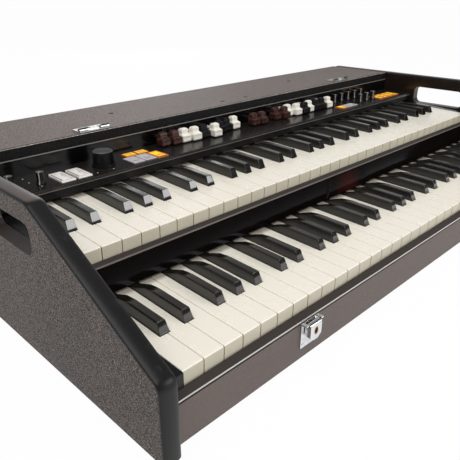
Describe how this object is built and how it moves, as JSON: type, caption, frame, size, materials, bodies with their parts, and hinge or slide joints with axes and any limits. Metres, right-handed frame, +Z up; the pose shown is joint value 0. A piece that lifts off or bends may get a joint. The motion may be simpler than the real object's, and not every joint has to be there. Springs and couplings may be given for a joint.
{
  "type": "electronic organ",
  "caption": "Portable electronic organ with two manuals of waterfall keys, drawbars and a flat control deck in a covered case with hand slots.",
  "frame": {"origin": "on the floor under the middle of the case, between its feet", "axes": "+X to the player's right, +Y to the rear, +Z up"},
  "size_m": [0.9212, 0.4912, 0.1874],
  "materials": {
    "grained_covering": "pebble-grained grey-brown vinyl over plywood",
    "edge_trim": "satin",
    "plywood": "plain",
    "black_metal": "satin",
    "gloss_black": "gloss",
    "natural_keys": "satin",
    "sharp_keys": "gloss",
    "drawbar_brown": "satin",
    "drawbar_white": "satin",
    "drawbar_black": "satin",
    "knob_black": "satin",
    "button_white": "satin",
    "chrome": "polished",
    "circuit_board": "solder mask"
  },
  "bodies": {
    "case": {"base_board": "plywood", "left_side_panel": "grained_covering", "right_side_panel": "grained_covering", "left_edge_trim": "edge_trim", "right_edge_trim": "edge_trim", "front_rail": "grained_covering", "rear_panel": "grained_covering", "top_cover": "grained_covering", "left_hinge_half": "chrome", "right_hinge_half": "chrome", "upper_key_bed": "black_metal", "lower_key_slip": "black_metal", "middle_fascia": "gloss_black", "control_panel": "black_metal", "control_board": "circuit_board", "main_board": "circuit_board"},
    "left_latch_lever": {"left_latch_lever": "chrome"},
    "right_latch_lever": {"right_latch_lever": "chrome"},
    "upper_naturals_cegb": {"upper_naturals_cegb": "natural_keys"},
    "upper_naturals_dfa": {"upper_naturals_dfa": "natural_keys"},
    "upper_sharps": {"upper_sharps": "sharp_keys"},
    "lower_naturals_cegb": {"lower_naturals_cegb": "natural_keys"},
    "lower_naturals_dfa": {"lower_naturals_dfa": "natural_keys"},
    "lower_sharps": {"lower_sharps": "sharp_keys"},
    "drawbar_lower_1": {"drawbar_lower_1": "drawbar_brown"},
    "drawbar_lower_2": {"drawbar_lower_2": "drawbar_brown"},
    "drawbar_lower_3": {"drawbar_lower_3": "drawbar_white"},
    "drawbar_lower_4": {"drawbar_lower_4": "drawbar_white"},
    "drawbar_lower_5": {"drawbar_lower_5": "drawbar_black"},
    "drawbar_lower_6": {"drawbar_lower_6": "drawbar_white"},
    "drawbar_lower_7": {"drawbar_lower_7": "drawbar_black"},
    "drawbar_lower_8": {"drawbar_lower_8": "drawbar_black"},
    "drawbar_lower_9": {"drawbar_lower_9": "drawbar_white"},
    "drawbar_pedal_1": {"drawbar_pedal_1": "drawbar_brown"},
    "drawbar_pedal_2": {"drawbar_pedal_2": "drawbar_brown"},
    "drawbar_upper_1": {"drawbar_upper_1": "drawbar_brown"},
    "drawbar_upper_2": {"drawbar_upper_2": "drawbar_brown"},
    "drawbar_upper_3": {"drawbar_upper_3": "drawbar_white"},
    "drawbar_upper_4": {"drawbar_upper_4": "drawbar_white"},
    "drawbar_upper_5": {"drawbar_upper_5": "drawbar_black"},
    "drawbar_upper_6": {"drawbar_upper_6": "drawbar_white"},
    "drawbar_upper_7": {"drawbar_upper_7": "drawbar_black"},
    "drawbar_upper_8": {"drawbar_upper_8": "drawbar_black"},
    "drawbar_upper_9": {"drawbar_upper_9": "drawbar_white"},
    "volume_knob": {"volume_knob": "knob_black"},
    "pointer_knob_1": {"pointer_knob_1": "knob_black"},
    "pointer_knob_2": {"pointer_knob_2": "knob_black"},
    "pointer_knob_3": {"pointer_knob_3": "knob_black"},
    "pointer_knob_4": {"pointer_knob_4": "knob_black"},
    "pointer_knob_5": {"pointer_knob_5": "knob_black"},
    "pointer_knob_6": {"pointer_knob_6": "knob_black"},
    "pointer_knob_7": {"pointer_knob_7": "knob_black"},
    "pointer_knob_8": {"pointer_knob_8": "knob_black"},
    "pointer_knob_9": {"pointer_knob_9": "knob_black"},
    "pointer_knob_10": {"pointer_knob_10": "knob_black"},
    "rocker_tab_1": {"rocker_tab_1": "button_white"},
    "rocker_tab_2": {"rocker_tab_2": "button_white"},
    "left_button_bank": {"left_button_bank": "button_white"},
    "centre_button_bank": {"centre_button_bank": "button_white"},
    "right_button_bank": {"right_button_bank": "button_white"}
  },
  "joints": [
    {"name": "upper_naturals_cegb_press", "type": "hinge", "parent": "case", "child": "upper_naturals_cegb", "pos_m": [0, 0.10903, 0.12394], "axis": [1, 0, 0], "range_deg": [0, 2.7], "stiffness_Nm_per_rad": 8, "springref_deg": -14.32},
    {"name": "upper_naturals_dfa_press", "type": "hinge", "parent": "case", "child": "upper_naturals_dfa", "pos_m": [0, 0.10903, 0.12394], "axis": [1, 0, 0], "range_deg": [0, 2.7], "stiffness_Nm_per_rad": 8, "springref_deg": -14.32},
    {"name": "upper_sharps_press", "type": "hinge", "parent": "case", "child": "upper_sharps", "pos_m": [0, 0.10903, 0.12394], "axis": [1, 0, 0], "range_deg": [0, 2.7], "stiffness_Nm_per_rad": 8, "springref_deg": -14.32},
    {"name": "lower_naturals_cegb_press", "type": "hinge", "parent": "case", "child": "lower_naturals_cegb", "pos_m": [0, -0.03457, 0.07124], "axis": [1, 0, 0], "range_deg": [0, 2.7], "stiffness_Nm_per_rad": 8, "springref_deg": -14.32},
    {"name": "lower_naturals_dfa_press", "type": "hinge", "parent": "case", "child": "lower_naturals_dfa", "pos_m": [0, -0.03457, 0.07124], "axis": [1, 0, 0], "range_deg": [0, 2.7], "stiffness_Nm_per_rad": 8, "springref_deg": -14.32},
    {"name": "lower_sharps_press", "type": "hinge", "parent": "case", "child": "lower_sharps", "pos_m": [0, -0.03457, 0.07124], "axis": [1, 0, 0], "range_deg": [0, 2.7], "stiffness_Nm_per_rad": 8, "springref_deg": -14.32},
    {"name": "drawbar_lower_1_pull", "type": "slide", "parent": "case", "child": "drawbar_lower_1", "axis": [0, -1, 0], "range_m": [-0.01044, 0.02556]},
    {"name": "drawbar_lower_2_pull", "type": "slide", "parent": "case", "child": "drawbar_lower_2", "axis": [0, -1, 0], "range_m": [-0.0144, 0.0216]},
    {"name": "drawbar_lower_3_pull", "type": "slide", "parent": "case", "child": "drawbar_lower_3", "axis": [0, -1, 0], "range_m": [-0.01368, 0.02232]},
    {"name": "drawbar_lower_4_pull", "type": "slide", "parent": "case", "child": "drawbar_lower_4", "axis": [0, -1, 0], "range_m": [-0.01692, 0.01908]},
    {"name": "drawbar_lower_5_pull", "type": "slide", "parent": "case", "child": "drawbar_lower_5", "axis": [0, -1, 0], "range_m": [-0.0162, 0.0198]},
    {"name": "drawbar_lower_6_pull", "type": "slide", "parent": "case", "child": "drawbar_lower_6", "axis": [0, -1, 0], "range_m": [-0.02304, 0.01296]},
    {"name": "drawbar_lower_7_pull", "type": "slide", "parent": "case", "child": "drawbar_lower_7", "axis": [0, -1, 0], "range_m": [-0.01404, 0.02196]},
    {"name": "drawbar_lower_8_pull", "type": "slide", "parent": "case", "child": "drawbar_lower_8", "axis": [0, -1, 0], "range_m": [-0.01008, 0.02592]},
    {"name": "drawbar_lower_9_pull", "type": "slide", "parent": "case", "child": "drawbar_lower_9", "axis": [0, -1, 0], "range_m": [-0.009, 0.027]},
    {"name": "drawbar_pedal_1_pull", "type": "slide", "parent": "case", "child": "drawbar_pedal_1", "axis": [0, -1, 0], "range_m": [-0.01728, 0.01872]},
    {"name": "drawbar_pedal_2_pull", "type": "slide", "parent": "case", "child": "drawbar_pedal_2", "axis": [0, -1, 0], "range_m": [-0.01908, 0.01692]},
    {"name": "drawbar_upper_1_pull", "type": "slide", "parent": "case", "child": "drawbar_upper_1", "axis": [0, -1, 0], "range_m": [-0.01476, 0.02124]},
    {"name": "drawbar_upper_2_pull", "type": "slide", "parent": "case", "child": "drawbar_upper_2", "axis": [0, -1, 0], "range_m": [-0.02016, 0.01584]},
    {"name": "drawbar_upper_3_pull", "type": "slide", "parent": "case", "child": "drawbar_upper_3", "axis": [0, -1, 0], "range_m": [-0.01224, 0.02376]},
    {"name": "drawbar_upper_4_pull", "type": "slide", "parent": "case", "child": "drawbar_upper_4", "axis": [0, -1, 0], "range_m": [-0.018, 0.018]},
    {"name": "drawbar_upper_5_pull", "type": "slide", "parent": "case", "child": "drawbar_upper_5", "axis": [0, -1, 0], "range_m": [-0.02196, 0.01404]},
    {"name": "drawbar_upper_6_pull", "type": "slide", "parent": "case", "child": "drawbar_upper_6", "axis": [0, -1, 0], "range_m": [-0.0171, 0.0189]},
    {"name": "drawbar_upper_7_pull", "type": "slide", "parent": "case", "child": "drawbar_upper_7", "axis": [0, -1, 0], "range_m": [-0.01998, 0.01602]},
    {"name": "drawbar_upper_8_pull", "type": "slide", "parent": "case", "child": "drawbar_upper_8", "axis": [0, -1, 0], "range_m": [-0.01908, 0.01692]},
    {"name": "drawbar_upper_9_pull", "type": "slide", "parent": "case", "child": "drawbar_upper_9", "axis": [0, -1, 0], "range_m": [-0.01962, 0.01638]},
    {"name": "volume_knob_turn", "type": "hinge", "parent": "case", "child": "volume_knob", "pos_m": [-0.29211, 0.0754, 0.1461], "axis": [0, 0, 1], "range_deg": [-140, 140]},
    {"name": "pointer_knob_1_turn", "type": "hinge", "parent": "case", "child": "pointer_knob_1", "pos_m": [-0.4143, 0.0746, 0.1461], "axis": [0, 0, 1], "range_deg": [-140, 140]},
    {"name": "pointer_knob_2_turn", "type": "hinge", "parent": "case", "child": "pointer_knob_2", "pos_m": [-0.3821, 0.06493, 0.1461], "axis": [0, 0, 1], "range_deg": [-140, 140]},
    {"name": "pointer_knob_3_turn", "type": "hinge", "parent": "case", "child": "pointer_knob_3", "pos_m": [0.2437, 0.0989, 0.1461], "axis": [0, 0, 1], "range_deg": [-140, 140]},
    {"name": "pointer_knob_4_turn", "type": "hinge", "parent": "case", "child": "pointer_knob_4", "pos_m": [0.266, 0.0989, 0.1461], "axis": [0, 0, 1], "range_deg": [-140, 140]},
    {"name": "pointer_knob_5_turn", "type": "hinge", "parent": "case", "child": "pointer_knob_5", "pos_m": [0.2883, 0.0989, 0.1461], "axis": [0, 0, 1], "range_deg": [-140, 140]},
    {"name": "pointer_knob_6_turn", "type": "hinge", "parent": "case", "child": "pointer_knob_6", "pos_m": [0.3106, 0.0989, 0.1461], "axis": [0, 0, 1], "range_deg": [-140, 140]},
    {"name": "pointer_knob_7_turn", "type": "hinge", "parent": "case", "child": "pointer_knob_7", "pos_m": [0.3329, 0.0989, 0.1461], "axis": [0, 0, 1], "range_deg": [-140, 140]},
    {"name": "pointer_knob_8_turn", "type": "hinge", "parent": "case", "child": "pointer_knob_8", "pos_m": [0.2829, 0.06691, 0.1461], "axis": [0, 0, 1], "range_deg": [-140, 140]},
    {"name": "pointer_knob_9_turn", "type": "hinge", "parent": "case", "child": "pointer_knob_9", "pos_m": [0.3052, 0.06691, 0.1461], "axis": [0, 0, 1], "range_deg": [-140, 140]},
    {"name": "pointer_knob_10_turn", "type": "hinge", "parent": "case", "child": "pointer_knob_10", "pos_m": [0.3275, 0.06691, 0.1461], "axis": [0, 0, 1], "range_deg": [-140, 140]},
    {"name": "rocker_tab_1_rock", "type": "hinge", "parent": "case", "child": "rocker_tab_1", "pos_m": [-0.35408, 0.07001, 0.1461], "axis": [1, 0, 0], "range_deg": [-3, 3]},
    {"name": "rocker_tab_2_rock", "type": "hinge", "parent": "case", "child": "rocker_tab_2", "pos_m": [-0.33223, 0.07001, 0.1461], "axis": [1, 0, 0], "range_deg": [-3, 3]},
    {"name": "left_button_bank_press", "type": "slide", "parent": "case", "child": "left_button_bank", "axis": [0, 0, -1], "range_m": [0, 0.0008], "stiffness_N_per_m": 600, "springref_m": -0.002},
    {"name": "centre_button_bank_press", "type": "slide", "parent": "case", "child": "centre_button_bank", "axis": [0, 0, -1], "range_m": [0, 0.0008], "stiffness_N_per_m": 600, "springref_m": -0.002},
    {"name": "right_button_bank_press", "type": "slide", "parent": "case", "child": "right_button_bank", "axis": [0, 0, -1], "range_m": [0, 0.0008], "stiffness_N_per_m": 600, "springref_m": -0.002},
    {"name": "left_latch_open", "type": "hinge", "parent": "case", "child": "left_latch_lever", "pos_m": [-0.2659, -0.2402, 0.0469], "axis": [-1, 0, 0], "range_deg": [0, 120]},
    {"name": "right_latch_open", "type": "hinge", "parent": "case", "child": "right_latch_lever", "pos_m": [0.2659, -0.2402, 0.0469], "axis": [-1, 0, 0], "range_deg": [0, 120]}
  ]
}
